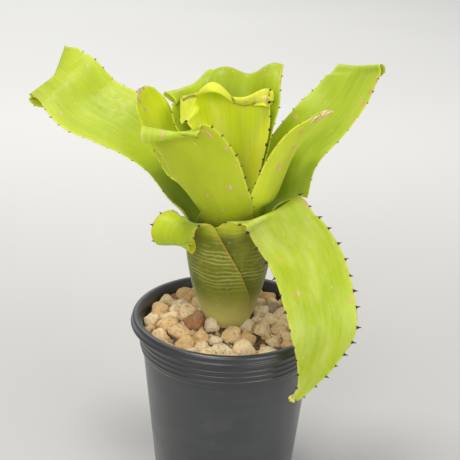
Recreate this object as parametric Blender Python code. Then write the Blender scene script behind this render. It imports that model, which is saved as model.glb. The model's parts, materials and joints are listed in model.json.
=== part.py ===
"""A billbergia in a round nursery pot: ten leaves on a short stem, in a bed of pumice stones."""

import math
import random

import bmesh
import bpy
import numpy as np
from mathutils import Euler, Vector

# Lengths below are in millimetres and angles in degrees, and MM turns a length into metres
MM = 0.001

# Pot: a slightly tapered body, a ribbed collar and a thick rolled lip
POT_HEIGHT = 120.0
POT_WALL = 1.3
POT_FLOOR = 2.4
POT_TAPER = 0.095
POT_BODY_TOP = 47.7
POT_FOOT_EDGE = 1.2
COLLAR_FOOT = 99.2
COLLAR_STEP = 1.1
COLLAR_EDGE = 0.8
RIB_HEIGHTS = (103.0, 106.1, 109.2, 112.3)
RIB_DEPTH = 0.35
RIB_HALF = 0.7
LIP_FOOT = 114.8
LIP_OUTER = 52.5
LIP_BEAD = 1.5
LIP_WAIST = 0.8
LIP_CREST = 49.6
LIP_EDGE = 1.2
POT_SIDES = 36
DRAIN_HOLES = 8
DRAIN_RING = 23.0
DRAIN_RADIUS = 3.6
DRAIN_SIDES = 10

# Pumice bed: a solid fill under a layer of stones
BED_GAP = 0.35
BED_EDGE = 112.5
BED_HEAP = 117.0
STONE_COUNT = 84
STONE_SMALL = 3.5
STONE_LARGE = 6.0
STONE_SPACING = 0.86
STONE_SINK = 0.4
STONE_SEED = 11
STONE_LENGTHS = (0.95, 1.2)
STONE_WIDTHS = (0.85, 1.0)
STONE_HEIGHTS = (0.72, 0.85)
STONE_BUMPS = (0.9, 1.08)
STONE_TILT = 0.25
STONE_FIT = 0.75
STONE_TRIES = 60
WALL_PRESS = 0.9
HOLE_HEIGHTS = (92, 112, 118, 125)
HOLE_RADIUS = 12.2
HOLE_MARGIN = 2.2
HOLE_SIDES = 28
CORE_GAP = 0.9

# Stem and roots
STEM_FOOT = 95.0
STEM_SHOULDER = 103.2
STEM_TIP = 131.0
STEM_TIP_RADIUS = 1.0
STEM_GAP = 0.9
STEM_SIDES = 14
STEM_FOOT_EDGE = 2.0
ROOTS = 6
ROOT_LENGTH = 5.0
ROOT_RADIUS = 0.9
ROOT_SET = 3.0
ROOT_DROOP = 0.35
ROOT_STAGGER = 1.2

# Leaf tube: its radius at each height, and how far apart the leaves are nested in it
TUBE = (
    (100, 9.0), (105, 10.2), (112, 11.6), (125, 15.6), (138, 19.6),
    (150, 22.0), (158, 22.9), (166, 23.5), (180, 24.2), (195, 25.0),
)
NEST = 1.45
LEAF_THICKNESS = 0.64
LEAF_COLUMNS = 12
SHEATH_ROW_GAP = 4.0
ROW_LENGTH = 12.0
ROW_TURN = 20.0
POINTED_END = 6.0
SPINE_STEP = 12.0
SPINE_LENGTH = 2.0
SPINE_BASE = 1.5
SPINE_LEAN = 0.7

# Each leaf, outermost first. wrap: share of the sheath's height, with the half angle it covers
# to the left and right. Stations from the crest to the tip: heading, reach, height, facing, width,
# cupping, roll and, where it has one, lean. Headings and facings turn from the front (-Y) towards
# the right (+X). wave: depth, count, phase, start and end.
LEAVES = (
    dict(
        name="leaf_front_curl", facing=-47, layer=0, root=104, crest=176, blend=6, rows=16,
        wrap=((0, 140, 140), (0.19, 108, 106), (0.67, 54, 61), (1, 29, 29)),
        stations=(
            (-49, 27.3, 177.8, -42, 26, 12, 0), (-51, 30.8, 178, -35, 26, 8, 0),
            (-52, 34.6, 175.6, -31, 26, 5, -1), (-52, 36.4, 171.3, -30, 25.5, 4, -2),
            (-52, 35, 167.4, -30, 24, 3, -5), (-51, 31.7, 166.3, -30, 21, 2, -7),
            (-50, 29, 168.2, -30, 14, 1, -8), (-50, 28.4, 170.6, -30, 5, 1, -8),
        ),
    ),
    dict(
        name="leaf_drooping", facing=42, layer=1, root=105, crest=177, blend=6, rows=18,
        wrap=((0, 140, 140), (0.5, 120, 110), (0.92, 78, 60), (1, 62, 46)),
        stations=(
            (40, 26, 181.2, 30, 33, 22, 10, 18), (43, 30.5, 183.9, 22, 31, 11, 18, 19),
            (49, 36, 178.5, 23, 33, 10, 21, 15),
            (53, 43, 169.5, 21, 35, 10, 17, 9), (52, 50, 161, 20, 37, 12, 11, 4),
            (49, 58, 149, 20, 37, 12, 7), (46, 65, 135, 20, 35, 12, 4), (43, 65, 116, 20, 21, 10, 0),
            (39.5, 61.5, 101.5, 20, 8, 8, 0), (36.5, 59, 96, 20, 5, 8, 0), (33.5, 58, 96.5, 20, 3, 5, 0),
        ),
    ),
    dict(
        name="leaf_left", facing=-118, layer=2, root=107, crest=167, blend=16, rows=17,
        wrap=((0, 140, 140), (0.5, 110, 110), (0.85, 90, 65), (1, 66, 40)),
        stations=(
            (-127.5, 25, 172.5, -124.5, 40.5, 58, 0), (-122, 32, 181.5, -119, 44, 50, -4),
            (-119, 41, 196.4, -118, 42.7, 38, -11.2), (-118, 52.5, 205.7, -118, 42, 26, -17.3),
            (-118, 69, 214.9, -118, 40.5, 17, -31), (-117.5, 89.6, 221.5, -118, 42, 12, -31.5),
            (-118.5, 105.4, 233, -118, 38.5, 7, -38, -8), (-120, 115.3, 234.2, -118, 35.5, 5, -34, 19.5),
            (-120, 115.6, 229.6, -118, 33, 5, 30.6, 25), (-119, 109.3, 225.3, -118, 26, 4, 37.7, 9),
            (-118, 99.3, 220.6, -118, 3, 3, 38, 7),
        ),
    ),
    dict(
        name="leaf_right", facing=112, layer=3, root=109, crest=174, blend=16, rows=16,
        wrap=((0, 140, 140), (0.5, 110, 110), (1, 62, 62)),
        stations=(
            (113.3, 22.5, 180.9, 113, 42.3, 54, 0), (114, 30.9, 187.5, 118.5, 45.4, 23, 8.4),
            (114, 36, 205, 121.7, 40.5, 18, 6.5), (114, 50.7, 221.7, 126, 38.6, 17, 7.7),
            (114.5, 62.3, 234.2, 127, 37.3, 13, 3, -5.4), (114.5, 68.4, 245.8, 127, 36.5, 9, -1, -15),
            (115, 70.8, 250, 127, 33.7, 6, -9.9, -8), (115, 74.8, 248.5, 127, 26, 5, -8, -8),
            (115, 77.8, 242, 127, 3, 5, -7, -6),
        ),
    ),
    dict(
        name="leaf_front", facing=-16, layer=4, root=111, crest=181, blend=16, rows=15,
        wrap=((0, 140, 140), (0.5, 110, 110), (0.85, 70, 72), (1, 40, 52)),
        stations=(
            (-20, 24.5, 191.5, -18, 36, 40, 0), (-27, 31, 207, -12, 37, 30, 3),
            (-33, 38, 220.5, -10, 34.8, 16, 0), (-39, 44, 227.6, -8, 29, 8, -2, -4),
            (-39, 46.8, 230.2, -7, 27, 5, -3, -5), (-38.4, 48.8, 229.4, -7, 26, 3, -3, -7),
            (-38.4, 48.6, 226.8, -7, 24, 2, -3, -9),
        ),
    ),
    dict(
        name="leaf_front_right", facing=64, layer=5, root=114, crest=183, blend=16, rows=11,
        wrap=((0, 140, 140), (0.5, 110, 110), (1, 62, 66)),
        stations=(
            (71.5, 22.4, 188, 69.5, 39.6, 56, 0), (70.5, 25.9, 197.5, 67.5, 38, 48, 0),
            (67, 30.3, 210, 65, 35, 44, 0), (68, 37.5, 225, 66, 29, 40, 0),
            (68, 44.5, 233, 66, 18, 36, 0), (68, 51, 238, 66, 3, 30, 0),
        ),
    ),
    dict(
        name="leaf_left_inner", facing=-100, layer=6, root=117, crest=178, blend=16, rows=12,
        wrap=((0, 130, 130), (0.5, 105, 105), (1, 64, 64)),
        stations=(
            (-103, 22.8, 189, -98, 35, 49, -6), (-105, 31.5, 198, -96, 34, 26, -12),
            (-103, 38, 212, -97, 32, 22, -14), (-101, 42.5, 225, -98, 31, 18, -14),
            (-99, 46, 233, -98, 25, 12, -14), (-97.5, 48, 238, -98, 14, 10, -14),
            (-97, 49, 240, -98, 4, 10, -14),
        ),
    ),
    dict(
        name="leaf_back_left", facing=-147, layer=7, root=120, crest=188, blend=16, rows=12,
        wrap=((0, 130, 130), (0.5, 105, 105), (1, 64, 64)),
        stations=(
            (-147, 20, 204, -147, 39, 50, 0), (-148, 30, 219, -147, 42.2, 32, -3),
            (-147, 35.8, 233, -149, 34, 20, -9), (-143, 41, 235.8, -147, 30.5, 9, -12),
            (-143, 47, 231.5, -147, 23, 5, -12), (-143, 51, 224, -147, 3, 5, -12),
        ),
    ),
    dict(
        name="leaf_back", facing=168, layer=8, root=123, crest=190, blend=16, rows=13,
        wrap=((0, 130, 130), (0.5, 100, 100), (1, 74, 74)),
        wave=(2.2, 1.4, 180, 20, 55),
        stations=(
            (168, 17.5, 211, 168, 43, 62, 0), (168, 23.5, 228, 168, 43, 36, -3),
            (168, 28.5, 241, 168, 40, 16, -9), (168, 32.5, 245, 168, 38, 8, -9),
            (168, 38, 243.5, 168, 32, 5, -9), (168, 43, 235, 168, 3, 5, 0),
        ),
    ),
    dict(
        name="leaf_centre", facing=-168, layer=9, root=126, crest=188, blend=16, rows=13,
        wrap=((0, 130, 130), (0.5, 105, 105), (1, 88, 88)),
        wave=(-5.2, 1.6, -92, 20, 50),
        stations=(
            (-172, 12, 206, -172, 43, 78, 0), (-170, 14, 222, -172, 48.8, 62, 0, -3),
            (-165.5, 15, 231, -174, 49.8, 52, 0, -8), (-162, 14.4, 236.8, -174, 52, 46, 0, -10),
            (-158, 11, 238.3, -174, 50, 40, 0, -10), (-154, 9, 235.8, -174, 46, 34, 0, -10),
        ),
    ),
)

# Colour, roughness and metallic value of each material
POT_LOOK = ((0.022, 0.024, 0.027), 0.42, 0.0)
PUMICE_LOOK = ((0.62, 0.49, 0.33), 0.92, 0.0)
STEM_LOOK = ((0.30, 0.22, 0.11), 0.85, 0.0)
LEAF_LOOK = ((0.36, 0.50, 0.06), 0.48, 0.0)


# Shared helpers
def material(name, look):
    colour, roughness, metallic = look
    made = bpy.data.materials.new(name)
    made.use_nodes = True
    shader = made.node_tree.nodes["Principled BSDF"]
    shader.inputs["Base Color"].default_value = (*colour, 1.0)
    shader.inputs["Roughness"].default_value = roughness
    shader.inputs["Metallic"].default_value = metallic
    return made


def object_of(name, bm, look=None):
    bmesh.ops.recalc_face_normals(bm, faces=bm.faces[:])
    mesh = bpy.data.meshes.new(name)
    bm.to_mesh(mesh)
    bm.free()
    obj = bpy.data.objects.new(name, mesh)
    bpy.context.scene.collection.objects.link(obj)
    if look:
        mesh.materials.append(material(name, look))
    return obj


def with_modifiers_applied(obj):
    bpy.context.view_layer.update()
    graph = bpy.context.evaluated_depsgraph_get()
    old = obj.data
    obj.data = bpy.data.meshes.new_from_object(obj.evaluated_get(graph))
    obj.modifiers.clear()
    bpy.data.meshes.remove(old)
    obj.data.name = obj.name


def fuse(obj, others, operation="UNION", solver="EXACT"):
    group = bpy.data.collections.new(obj.name + "_pieces")
    bpy.context.scene.collection.children.link(group)
    for other in others:
        bpy.context.scene.collection.objects.unlink(other)
        group.objects.link(other)
    boolean = obj.modifiers.new("fuse", "BOOLEAN")
    boolean.operand_type = "COLLECTION"
    boolean.collection = group
    boolean.operation = operation
    boolean.solver = solver
    with_modifiers_applied(obj)
    for other in others:
        bpy.data.objects.remove(other)
    bpy.data.collections.remove(group)


def curve(knots, x):
    """The value at x of a curve through (place, value) pairs that never overshoots them."""
    places = [k[0] for k in knots]
    values = [k[1] for k in knots]
    if x <= places[0]:
        return values[0]
    if x >= places[-1]:
        return values[-1]
    count = len(knots)
    rises = [(values[i + 1] - values[i]) / (places[i + 1] - places[i]) for i in range(count - 1)]
    slopes = [rises[0]]
    for i in range(1, count - 1):
        before, after = rises[i - 1], rises[i]
        slopes.append(0 if before * after <= 0 else 2 * before * after / (before + after))
    slopes.append(rises[-1])
    i = max(j for j in range(count - 1) if places[j] <= x)
    span = places[i + 1] - places[i]
    t = (x - places[i]) / span
    start = values[i] * (1 + 2 * t) * (1 - t) ** 2 + slopes[i] * span * t * (1 - t) ** 2
    return start + values[i + 1] * t * t * (3 - 2 * t) + slopes[i + 1] * span * t * t * (t - 1)


def smooth(t):
    t = min(1.0, max(0.0, t))
    return t * t * (3 - 2 * t)


def length(vector):
    return float(np.linalg.norm(vector))


def around(azimuth, radius, height):
    a = math.radians(azimuth)
    return np.array([radius * math.sin(a), -radius * math.cos(a), height])


def turned(name, profile, sides, look=None):
    """A solid of revolution from (radius, height) points, where a radius of 0 closes an end."""
    bm = bmesh.new()
    rings = []
    for radius, height in profile:
        count = sides if radius > 0 else 1
        points = [around(360 * k / sides, radius, height) * MM for k in range(count)]
        rings.append([bm.verts.new(p) for p in points])
    for low, high in zip(rings, rings[1:]):
        for k in range(sides):
            n = (k + 1) % sides
            corners = [low[k % len(low)], low[n % len(low)], high[n % len(high)], high[k % len(high)]]
            bm.faces.new(list(dict.fromkeys(corners)))
    return object_of(name, bm, look)


# Pot
def body_radius(height):
    return POT_BODY_TOP + POT_TAPER * (height - POT_HEIGHT)


def wall_radius(height):
    return body_radius(height) - POT_WALL


def pot_profile():
    outside = [
        (0, 0),
        (body_radius(0) - POT_FOOT_EDGE, 0),
        (body_radius(POT_FOOT_EDGE), POT_FOOT_EDGE),
        (body_radius(COLLAR_FOOT), COLLAR_FOOT),
        (body_radius(COLLAR_FOOT) + COLLAR_STEP, COLLAR_FOOT + COLLAR_EDGE),
    ]
    for height in RIB_HEIGHTS:
        face = body_radius(height) + COLLAR_STEP
        outside.append((face, height - RIB_HALF))
        outside.append((face + RIB_DEPTH, height))
        outside.append((face, height + RIB_HALF))
    lip = [
        (body_radius(LIP_FOOT) + COLLAR_STEP, LIP_FOOT),
        (LIP_OUTER - LIP_WAIST / 2, LIP_FOOT),
        (LIP_OUTER, LIP_FOOT + LIP_BEAD / 2),
        (LIP_OUTER - LIP_WAIST / 4, LIP_FOOT + LIP_BEAD),
        (LIP_OUTER - LIP_WAIST, LIP_FOOT + LIP_BEAD + LIP_WAIST / 2),
        (LIP_OUTER - LIP_WAIST, POT_HEIGHT - LIP_EDGE),
        (LIP_CREST + LIP_EDGE, POT_HEIGHT - LIP_EDGE / 8),
        (LIP_CREST, POT_HEIGHT),
        (wall_radius(POT_HEIGHT) + LIP_EDGE, POT_HEIGHT - LIP_EDGE / 2),
        (wall_radius(LIP_FOOT), LIP_FOOT),
    ]
    inside = [(wall_radius(POT_FLOOR), POT_FLOOR), (0, POT_FLOOR)]
    return outside + lip + inside


def make_pot():
    pot = turned("pot", pot_profile(), POT_SIDES, POT_LOOK)
    drills = []
    for k in range(DRAIN_HOLES):
        ends = (-POT_FLOOR, 2 * POT_FLOOR)
        profile = ((0, ends[0]), (DRAIN_RADIUS, ends[0]), (DRAIN_RADIUS, ends[1]), (0, ends[1]))
        drill = turned("drill", profile, DRAIN_SIDES)
        drill.location = Vector(around(360 * (k + 0.5) / DRAIN_HOLES, DRAIN_RING, 0)) * MM
        drills.append(drill)
    fuse(pot, drills, "DIFFERENCE")
    pot.data.shade_smooth()
    pot.data.set_sharp_from_angle(angle=math.radians(35))


# Pumice bed
def tube_radius(height, layer=0):
    return curve(TUBE, height) - layer * NEST


def fill_height(radius):
    share = (radius - HOLE_RADIUS) / (wall_radius(BED_EDGE) - HOLE_RADIUS)
    return BED_HEAP + (BED_EDGE - BED_HEAP) * share


def make_stone(place, size, draw):
    bm = bmesh.new()
    bmesh.ops.create_icosphere(bm, subdivisions=1, radius=1.0)
    turn = Euler([draw.uniform(0, 2 * math.pi) for _ in range(3)]).to_matrix()
    shape = Vector([size * draw.uniform(*span) for span in (STONE_LENGTHS, STONE_WIDTHS, STONE_HEIGHTS)])
    tilts = [draw.uniform(-STONE_TILT, STONE_TILT) for _ in range(2)]
    heading = Euler((*tilts, draw.uniform(0, 2 * math.pi))).to_matrix()
    for vert in bm.verts:
        point = turn @ vert.co * draw.uniform(*STONE_BUMPS)
        point = heading @ (point * shape) + place
        beyond = math.hypot(point.x, point.y) / (wall_radius(BED_EDGE) - WALL_PRESS)
        if beyond > 1:
            point = Vector((point.x / beyond, point.y / beyond, point.z))
        vert.co = point * MM
    return object_of("stone", bm)


def stone_places(draw):
    """Dart throwing between the leaf tube and the wall, large stones first."""
    inner = HOLE_RADIUS + HOLE_MARGIN
    outer = wall_radius(BED_EDGE)
    places = []
    for _ in range(STONE_COUNT * STONE_TRIES):
        size = STONE_LARGE - (STONE_LARGE - STONE_SMALL) * min(1.0, len(places) / (0.8 * STONE_COUNT))
        limit = outer - size * STONE_FIT
        radius = math.sqrt(draw.uniform(inner**2, limit**2))
        spot = Vector(around(draw.uniform(0, 360), radius, fill_height(radius) - STONE_SINK))
        if all((spot - other).length > STONE_SPACING * (size + reach) for other, reach in places):
            places.append((spot, size))
        if len(places) == STONE_COUNT:
            break
    return places


def make_bed():
    floor = POT_FLOOR + BED_GAP
    foot = wall_radius(floor) - BED_GAP
    edge = wall_radius(BED_EDGE) - BED_GAP
    bowl = [(0, floor), (foot, floor), (edge, BED_EDGE), (HOLE_RADIUS - 1, BED_HEAP), (0, BED_HEAP)]
    bed = turned("pumice_bed", bowl, POT_SIDES, PUMICE_LOOK)
    draw = random.Random(STONE_SEED)
    stones = [make_stone(place, size, draw) for place, size in stone_places(draw)]
    fuse(bed, stones)
    core = [(max(tube_radius(z) + CORE_GAP, HOLE_RADIUS), z) for z in HOLE_HEIGHTS]
    core = [(0, HOLE_HEIGHTS[0]), *core, (0, HOLE_HEIGHTS[-1])]
    fuse(bed, [turned("core", core, HOLE_SIDES)], "DIFFERENCE", "MANIFOLD")


# Stem, with stub roots round its foot
def make_stem():
    foot = tube_radius(STEM_SHOULDER) - STEM_GAP
    profile = [(0, STEM_FOOT), (foot - STEM_FOOT_EDGE, STEM_FOOT)]
    profile += [(foot, STEM_FOOT + STEM_FOOT_EDGE), (foot, STEM_SHOULDER)]
    for leaf in LEAVES:
        profile.append((tube_radius(leaf["root"], leaf["layer"]) - STEM_GAP, leaf["root"]))
    profile += [(STEM_TIP_RADIUS, STEM_TIP), (0, STEM_TIP + STEM_TIP_RADIUS / 2)]
    stem = turned("stem", profile, STEM_SIDES, STEM_LOOK)
    roots = []
    for k in range(ROOTS):
        taper = ((0, 0), (ROOT_RADIUS, 0), (ROOT_RADIUS / 2, ROOT_LENGTH), (0, ROOT_LENGTH))
        root = turned("root", taper, 5)
        azimuth = 360 * (k + 0.3) / ROOTS
        outward = Vector(around(azimuth, 1.0, -ROOT_DROOP))
        root.rotation_mode = "QUATERNION"
        root.rotation_quaternion = outward.to_track_quat("Z", "Y")
        height = STEM_FOOT + 1.3 * STEM_FOOT_EDGE + ROOT_STAGGER * (k % 3)
        root.location = Vector(around(azimuth, foot - ROOT_SET, height)) * MM
        roots.append(root)
    fuse(stem, roots)
    stem.data.shade_smooth()
    stem.data.set_sharp_from_angle(angle=math.radians(40))


# Leaves
class Leaf:
    """A leaf's mid surface.

    v runs from the root (below 0) past the crest (0) to the tip, and u from margin to margin.
    """

    def __init__(self, name, facing, layer, root, crest, blend, rows, wrap, stations, wave=None):
        self.name, self.facing, self.layer = name, facing, layer
        self.root, self.crest, self.blend = root, crest, blend
        self.rows, self.wrap, self.stations, self.wave = rows, wrap, stations, wave
        left, right = self.wrapping(1.0)
        self.crest_facing = facing + (right - left) / 2
        crest_width = tube_radius(crest, layer) * math.radians(left + right)
        self.trace()
        first = (self.crest_facing, crest_width, (left + right) / 2, 0.0, 0.0)
        along = [first] + [tuple(s[3:]) + (0.0,) * (8 - len(s)) for s in stations]
        self.facings, self.widths, self.cups, self.rolls, self.leans = (
            [(place, row[j]) for place, row in zip(self.marks, along)] for j in range(5)
        )

    def wrapping(self, share):
        return [curve([(knot[0], knot[j]) for knot in self.wrap], share) for j in (1, 2)]

    def trace(self, steps=24):
        """The centre line above the crest, as a centripetal Catmull-Rom curve through the stations."""
        below = self.crest - 14
        points = [around(self.crest_facing, tube_radius(z, self.layer), z) for z in (below, self.crest)]
        points += [around(*station[:3]) for station in self.stations]
        points.append(2 * points[-1] - points[-2])
        line = []
        marks = [0]
        for i in range(1, len(points) - 2):
            p = points[i - 1 : i + 3]
            t = [0.0]
            for a, b in zip(p, p[1:]):
                t.append(t[-1] + math.sqrt(length(b - a)))
            for j in range(steps):
                x = t[1] + (t[2] - t[1]) * j / steps
                level = p
                for reach in (1, 2):
                    level = [
                        ((t[k + reach] - x) * a + (x - t[k]) * b) / (t[k + reach] - t[k])
                        for k, (a, b) in enumerate(zip(level, level[1:]))
                    ]
                line.append(((t[2] - x) * level[0] + (x - t[1]) * level[1]) / (t[2] - t[1]))
            marks.append(len(line))
        line.append(points[-2])
        self.line = np.array(line)
        runs = np.linalg.norm(np.diff(self.line, axis=0), axis=1)
        self.places = np.concatenate([[0.0], np.cumsum(runs)])
        tangents = np.gradient(self.line, self.places, axis=0)
        self.tangents = tangents / np.linalg.norm(tangents, axis=1)[:, None]
        self.marks = [self.places[m] for m in marks]
        self.length = self.places[-1]

    def along(self, table, v):
        return np.array([np.interp(v, self.places, table[:, j]) for j in range(3)])

    def point(self, v, u):
        if v < 0:
            share = (v + self.crest - self.root) / (self.crest - self.root)
            left, right = self.wrapping(share)
            azimuth = self.facing + (right - left) / 2 + u * (left + right) / 2
            return around(azimuth, tube_radius(v + self.crest, self.layer), v + self.crest)
        blend = smooth(v / self.blend)
        tangent = np.array([0, 0, 1.0]) * (1 - blend) + self.along(self.tangents, v) * blend
        tangent /= length(tangent)
        facing = math.radians(curve(self.facings, v))
        across = np.array([math.cos(facing), math.sin(facing), 0])
        across -= tangent * (across @ tangent)
        across /= length(across)
        inward = np.cross(tangent, across)
        roll = math.radians(curve(self.rolls, v))
        side = math.cos(roll) * across + math.sin(roll) * inward
        face = math.cos(roll) * inward - math.sin(roll) * across
        cup = math.radians(curve(self.cups, v))
        radius = curve(self.widths, v) / 2 / cup
        x = radius * math.sin(u * cup)
        y = radius * (1 - math.cos(u * cup))
        if self.wave:
            depth, count, phase, start, end = self.wave
            ripple = math.cos(math.pi * count * u + math.radians(phase))
            y += depth * smooth((v - start) / (end - start)) * ripple
        lean = math.tan(math.radians(curve(self.leans, v)))
        return self.along(self.line, v) + (side + lean * tangent) * x + face * y

    def normal(self, v, u):
        """Points to the inner, upper side."""
        low, high = max(v - 0.3, self.root - self.crest), min(v + 0.3, self.length)
        left, right = max(u - 0.03, -1), min(u + 0.03, 1)
        along = self.point(high, u) - self.point(low, u)
        cross = np.cross(along, self.point(v, right) - self.point(v, left))
        return cross / length(cross)

    def places_of_rows(self):
        """Rows lie closer together where the blade bends or turns."""
        fine = np.linspace(0, self.length, 160)
        effort = np.zeros(len(fine))
        for u in (-1, 0, 1):
            line = np.array([self.point(v, u) for v in fine])
            steps = np.diff(line, axis=0)
            runs = np.linalg.norm(steps, axis=1)
            heads = steps / np.maximum(runs, 1e-6)[:, None]
            turns = np.degrees(np.arccos(np.clip((heads[1:] * heads[:-1]).sum(axis=1), -1, 1)))
            effort[1:] += runs / ROW_LENGTH
            effort[2:] += turns / ROW_TURN
        total = np.cumsum(effort)
        blade = np.interp(np.linspace(0, total[-1], self.rows + 1), total, fine)
        inside = [z for z, _ in TUBE if self.root + SHEATH_ROW_GAP < z < self.crest - SHEATH_ROW_GAP]
        return [z - self.crest for z in [self.root] + inside] + list(blade)


def spine_rows(leaf, rows, grid, column):
    """The rows after which a margin carries a spine, about one step apart and none below the crest."""
    found = []
    run = SPINE_STEP / 2
    for i in range(len(rows) - 1 - leaf.rows, len(rows) - 1):
        edge = length(grid[i + 1][column] - grid[i][column])
        run += edge
        if run >= SPINE_STEP and edge > 2 * SPINE_BASE:
            found.append(i)
            run -= SPINE_STEP * max(1, round(run / SPINE_STEP))
    return found


def make_leaf(spec):
    leaf = Leaf(**spec)
    rows = leaf.places_of_rows()
    columns = np.linspace(-1, 1, LEAF_COLUMNS + 1)
    pointed = spec["stations"][-1][4] < POINTED_END
    grid = [[leaf.point(v, u) for u in columns] for v in rows]
    offsets = [[leaf.normal(v, u) * LEAF_THICKNESS / 2 for u in columns] for v in rows]
    bm = bmesh.new()

    def pair(point, offset):
        """The vertices over and under one point of the mid surface."""
        return [bm.verts.new((point + offset) * MM), bm.verts.new((point - offset) * MM)]

    pairs = [[pair(p, o) for p, o in zip(line, lift)] for line, lift in zip(grid[:-1], offsets[:-1])]
    if pointed:
        middle = LEAF_COLUMNS // 2
        pairs.append([pair(grid[-1][middle], offsets[-1][middle])] * (LEAF_COLUMNS + 1))
    else:
        pairs.append([pair(p, o) for p, o in zip(grid[-1], offsets[-1])])

    def faces(*corners):
        """One triangle on each side of the leaf."""
        if len({id(corner) for corner in corners}) < 3:
            return
        bm.faces.new([corner[0] for corner in corners])
        bm.faces.new([corner[1] for corner in reversed(corners)])

    def rim(start, end, apex=None):
        """The edge face between two pairs, or the four sides of a spine on it."""
        ring = [start[0], end[0], end[1], start[1]]
        if apex is None:
            bm.faces.new(ring[:3])
            bm.faces.new([ring[0], ring[2], ring[3]])
            return
        for k in range(4):
            bm.faces.new([ring[k], ring[(k + 1) % 4], apex])

    def spine(i, column, outward):
        """The two pairs at a spine's base, and its point."""
        low, high = grid[i][column], grid[i + 1][column]
        along = high - low
        half = SPINE_BASE / 2 / length(along)
        offset = (offsets[i][column] + offsets[i + 1][column]) / 2
        base = [pair(low + along * (0.5 + s * half), offset) for s in (-1, 1)]
        across = grid[i][column] - grid[i][column + outward]
        across = across / length(across)
        tip = (low + high) / 2 + across * SPINE_LENGTH + along / length(along) * SPINE_LEAN
        return base, bm.verts.new(tip * MM)

    last = LEAF_COLUMNS
    spines = {}
    for column, outward in ((0, 1), (last, -1)):
        for i in spine_rows(leaf, rows, grid, column):
            if i + 2 < len(rows):
                spines[i, column] = spine(i, column, outward)
    for i in range(len(rows) - 1):
        for j in range(LEAF_COLUMNS):
            a, b = pairs[i][j], pairs[i][j + 1]
            d, c = pairs[i + 1][j], pairs[i + 1][j + 1]
            if j == 0 and (i, 0) in spines:
                low, high = spines[i, 0][0]
                faces(b, a, low)
                faces(b, low, high)
                faces(b, high, c)
                faces(high, d, c)
            elif j == LEAF_COLUMNS - 1 and (i, last) in spines:
                low, high = spines[i, last][0]
                faces(a, low, b)
                faces(a, high, low)
                faces(a, d, high)
                faces(d, c, high)
            elif length(grid[i][j] - grid[i + 1][j + 1]) < length(grid[i][j + 1] - grid[i + 1][j]):
                faces(a, d, c)
                faces(a, c, b)
            else:
                faces(a, d, b)
                faces(b, d, c)
        for column, turn in ((0, -1), (last, 1)):
            stops = [pairs[i][column], pairs[i + 1][column]]
            apex = None
            if (i, column) in spines:
                base, apex = spines[i, column]
                stops = [stops[0], *base, stops[1]]
            for k, (start, end) in enumerate(zip(stops, stops[1:])):
                ends = (start, end)[::turn]
                rim(*ends, apex if k == 1 else None)
    for j in range(LEAF_COLUMNS):
        rim(pairs[0][j], pairs[0][j + 1])
        if not pointed:
            rim(pairs[-1][j + 1], pairs[-1][j])
    obj = object_of(leaf.name, bm, LEAF_LOOK)
    obj.data.shade_smooth()
    obj.data.set_sharp_from_angle(angle=math.radians(50))


def main():
    for obj in list(bpy.data.objects):
        bpy.data.objects.remove(obj)
    make_pot()
    make_bed()
    make_stem()
    for spec in LEAVES:
        make_leaf(spec)


main()
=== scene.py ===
"""A billbergia rolled into an upright tube, rooted in pumice in a black nursery pot, in a pale studio."""

import json
import math
import random

import bmesh
import bpy
import numpy as np
from mathutils import Matrix, Vector, noise

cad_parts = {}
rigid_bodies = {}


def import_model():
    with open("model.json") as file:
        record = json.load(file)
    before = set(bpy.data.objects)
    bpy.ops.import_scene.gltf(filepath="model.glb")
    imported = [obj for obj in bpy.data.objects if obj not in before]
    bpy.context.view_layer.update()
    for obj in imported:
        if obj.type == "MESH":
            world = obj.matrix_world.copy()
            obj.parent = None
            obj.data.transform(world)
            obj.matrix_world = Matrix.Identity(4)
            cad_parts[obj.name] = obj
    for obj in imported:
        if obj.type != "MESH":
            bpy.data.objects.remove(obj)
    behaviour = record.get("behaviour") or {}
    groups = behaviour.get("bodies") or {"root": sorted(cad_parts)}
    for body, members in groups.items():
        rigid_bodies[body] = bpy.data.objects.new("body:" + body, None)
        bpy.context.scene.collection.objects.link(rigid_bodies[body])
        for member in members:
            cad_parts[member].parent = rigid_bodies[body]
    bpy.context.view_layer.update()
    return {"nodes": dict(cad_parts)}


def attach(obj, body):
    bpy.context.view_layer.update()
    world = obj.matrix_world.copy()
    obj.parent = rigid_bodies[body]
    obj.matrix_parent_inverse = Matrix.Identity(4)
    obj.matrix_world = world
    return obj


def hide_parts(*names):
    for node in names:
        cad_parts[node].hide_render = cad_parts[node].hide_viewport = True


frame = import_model()

# Pot
# A round nursery pot of black polypropylene, injection moulded in one piece.
# It has a thick rolled lip, a ribbed collar under it for grip and stacking, and drain holes in its foot.
MM = 0.001
POT_HEIGHT = 120.0
POT_WALL = 1.3
POT_FLOOR = 2.4
POT_TAPER = 0.095
POT_BODY_TOP = 47.7
POT_FOOT_EDGE = 1.2
COLLAR_FOOT = 99.2
COLLAR_STEP = 1.1
COLLAR_EDGE = 0.8
RIB_HEIGHTS = (103.0, 106.1, 109.2, 112.3)
RIB_DEPTH = 0.35
RIB_HALF = 0.7
LIP_FOOT = 114.8
LIP_OUTER = 52.5
LIP_BEAD = 1.5
LIP_WAIST = 0.8
LIP_CREST = 49.6
LIP_EDGE = 1.2
DRAIN_HOLES = 8
DRAIN_RING = 23.0
DRAIN_RADIUS = 3.6
POT_TURNS = 128


def around(azimuth, radius, height):
    """A point in millimetres: azimuth 0 faces the viewer, 90 the viewer's right."""
    a = math.radians(azimuth)
    return np.array([radius * math.sin(a), -radius * math.cos(a), height])


def body_radius(height):
    return POT_BODY_TOP + POT_TAPER * (height - POT_HEIGHT)


def wall_radius(height):
    return body_radius(height) - POT_WALL


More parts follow.
